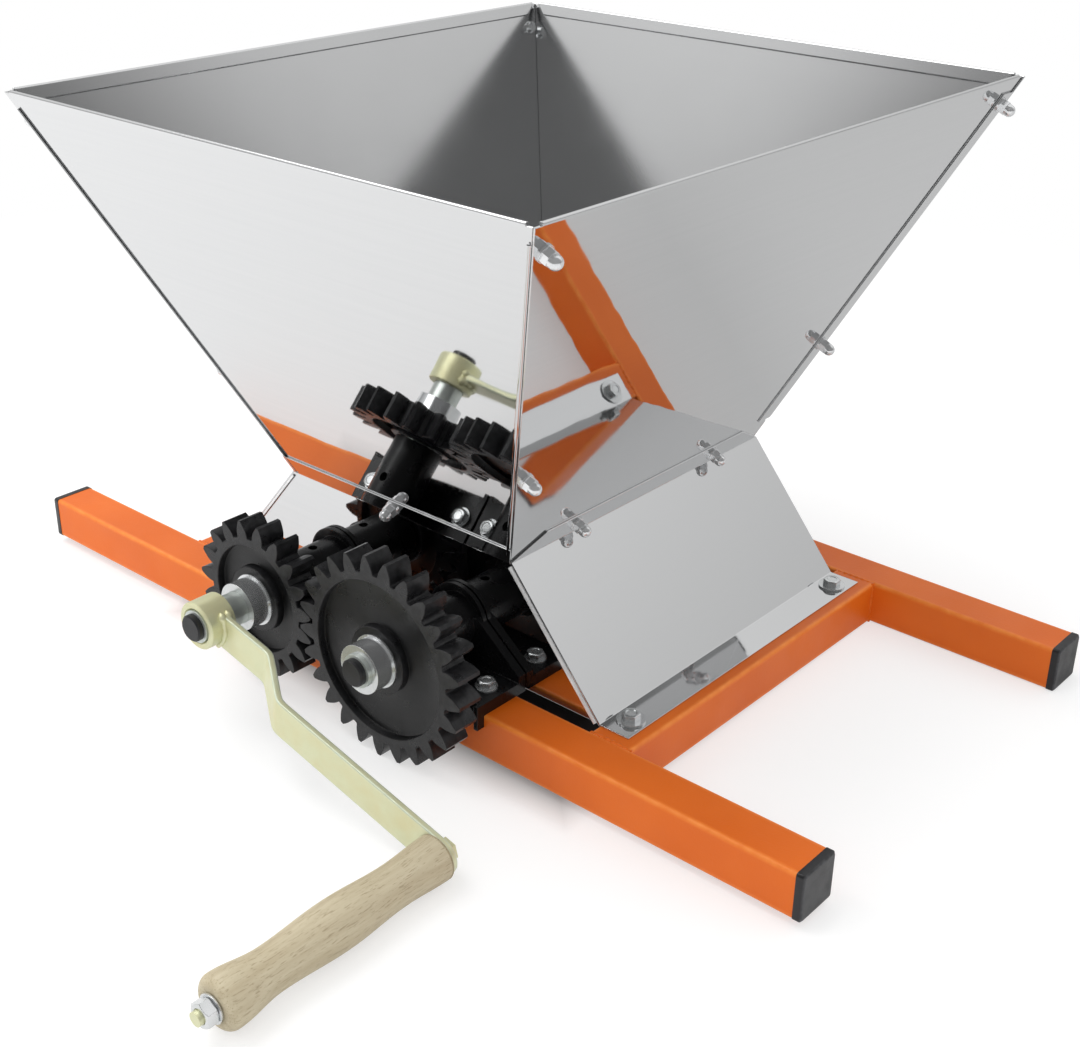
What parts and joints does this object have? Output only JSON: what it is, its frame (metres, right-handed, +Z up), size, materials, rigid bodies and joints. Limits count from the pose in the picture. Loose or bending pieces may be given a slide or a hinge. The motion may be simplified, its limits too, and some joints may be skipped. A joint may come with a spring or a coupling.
{
  "type": "grape crusher",
  "caption": "Hand cranked grape crusher: a square steel hopper over two geared rollers, on a frame of orange tube, with a cranked arm and a turned wooden grip.",
  "frame": {"origin": "underside of the front beam, at the middle of its length", "axes": "+X along the beams, +Y from the crank side to the rear, +Z up"},
  "size_m": [0.6646, 0.6573, 0.3686],
  "materials": {
    "orange_paint": "satin powder coat",
    "stainless": "bright rolled sheet",
    "zinc": "bright zinc plate",
    "yellow_zinc": "yellow passivated zinc",
    "cap_plastic": "smooth moulded",
    "black_nylon": "fine moulded grain",
    "roller_plastic": "smooth moulded",
    "beech": "bare sanded beech"
  },
  "bodies": {
    "frame": {"front_beam": "orange_paint", "rear_beam": "orange_paint", "left_cross_tube": "orange_paint", "right_cross_tube": "orange_paint", "beam_end_caps": "cap_plastic", "housing_left_plate": "stainless", "housing_right_plate": "stainless", "housing_front_plate": "stainless", "housing_rear_plate": "stainless", "housing_foot_bolts": "zinc", "housing_foot_washers": "zinc", "hopper_left_panel": "stainless", "hopper_right_panel": "stainless", "hopper_front_panel": "stainless", "hopper_rear_panel": "stainless", "corner_screws": "zinc", "corner_washers": "zinc", "corner_cap_nuts": "zinc", "lip_screws": "zinc", "lip_washers": "zinc", "lip_cap_nuts": "zinc", "front_left_bearing": "black_nylon", "front_right_bearing": "black_nylon", "rear_left_bearing": "black_nylon", "rear_right_bearing": "black_nylon", "bearing_bolts": "zinc", "bearing_washers": "zinc"},
    "crank": {"drive_shaft": "zinc", "drive_shaft_plugs": "cap_plastic", "drive_roller": "roller_plastic", "drive_roller_pins": "zinc", "drive_gear": "black_nylon", "drive_gear_collar": "zinc", "drive_gear_screw": "zinc", "crank_boss": "yellow_zinc", "crank_boss_screw": "zinc", "crank_arm": "yellow_zinc", "handle_bolt": "yellow_zinc", "handle_washer": "zinc", "handle_nut": "zinc"},
    "follower": {"driven_shaft": "zinc", "driven_shaft_plugs": "cap_plastic", "driven_roller": "roller_plastic", "driven_roller_pins": "zinc", "driven_gear": "black_nylon", "driven_gear_collar": "zinc", "driven_gear_screw": "zinc"},
    "grip": {"handle_grip": "beech"}
  },
  "joints": [
    {"name": "crank_spin", "type": "hinge", "parent": "frame", "child": "crank", "pos_m": [-0.055, 0.15001, 0.0617], "axis": [0, -1, 0], "continuous": true},
    {"name": "follower_spin", "type": "hinge", "parent": "frame", "child": "follower", "pos_m": [0.055, 0.15001, 0.0617], "axis": [0, -1, 0], "continuous": true},
    {"name": "grip_spin", "type": "hinge", "parent": "crank", "child": "grip", "pos_m": [0.16041, -0.18499, 0.00799], "axis": [0, -1, 0], "continuous": true}
  ],
  "couplings": [
    {"joint": "follower_spin", "follows": "crank_spin", "ratio": -0.76}
  ]
}
